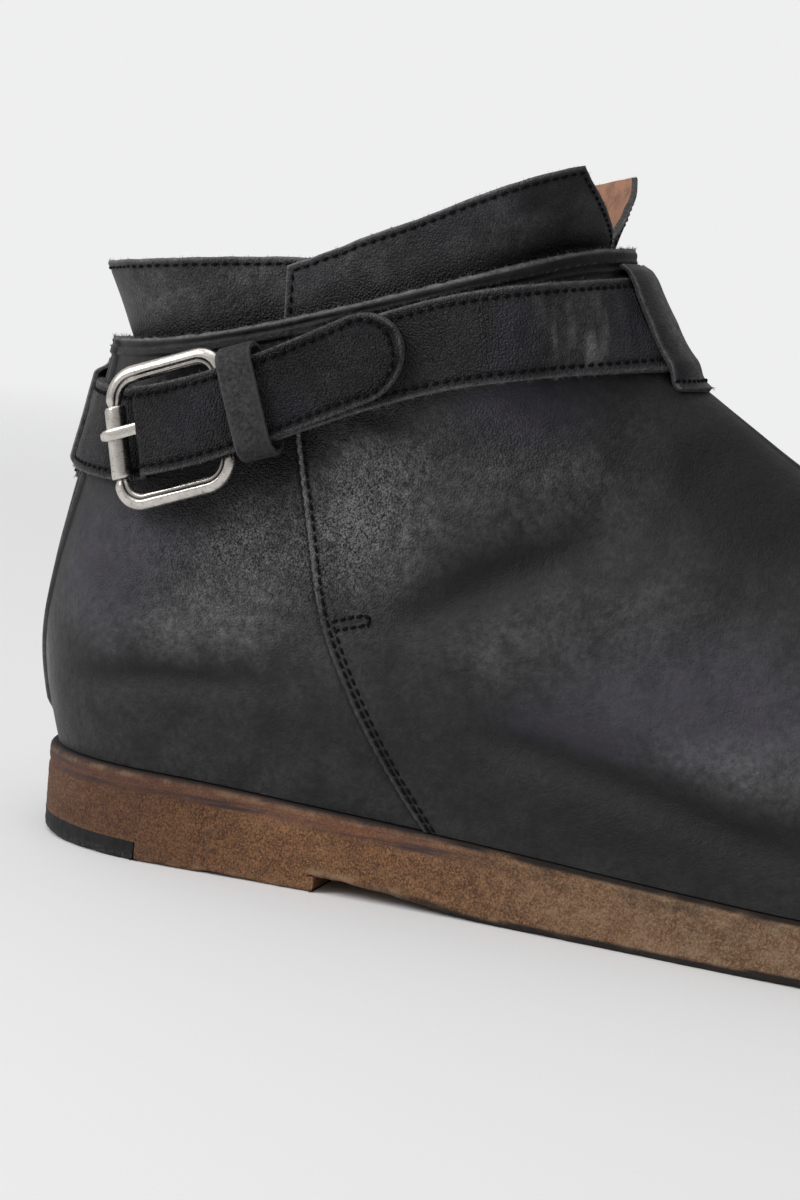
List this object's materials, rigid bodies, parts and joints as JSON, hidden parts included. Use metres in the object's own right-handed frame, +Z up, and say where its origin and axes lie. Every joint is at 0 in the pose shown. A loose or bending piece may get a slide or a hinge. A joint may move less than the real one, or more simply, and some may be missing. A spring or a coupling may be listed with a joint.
{
  "type": "buckle ankle boot",
  "caption": "Right ankle boot in black waxed leather with a cut collar, a strap and roller buckle round the ankle, and a thick leather sole with a rubber heel tip.",
  "frame": {"origin": "on the floor, in the middle of the heel, on the flat underside of the heel lift", "axes": "+X towards the toe, +Y towards the inner side of the foot, +Z up"},
  "size_m": [0.3, 0.1034, 0.1446],
  "materials": {
    "upper_leather": "waxed, half matt, fine pebble grain",
    "collar_leather": "waxed, half matt, raw cut edges",
    "strap_leather": "waxed, wrinkled, stitched edges",
    "keeper_leather": "rough side out, matt",
    "sole_leather": "raw stacked edge, pitted, worn",
    "lining_leather": "smooth tan lining leather",
    "rubber": "matt, worn at the back",
    "nickel": "antique nickel, worn bright"
  },
  "bodies": {
    "root": {"outsole": "sole_leather", "heel_lift": "sole_leather", "heel_tip": "rubber", "insole": "lining_leather", "upper": "upper_leather", "rear_collar": "collar_leather", "outer_front_collar": "collar_leather", "inner_front_collar": "collar_leather", "strap": "strap_leather", "front_loop": "strap_leather", "back_loop": "strap_leather", "keeper": "keeper_leather", "buckle_frame": "nickel", "buckle_roller": "nickel", "buckle_prong": "nickel"}
  },
  "joints": []
}
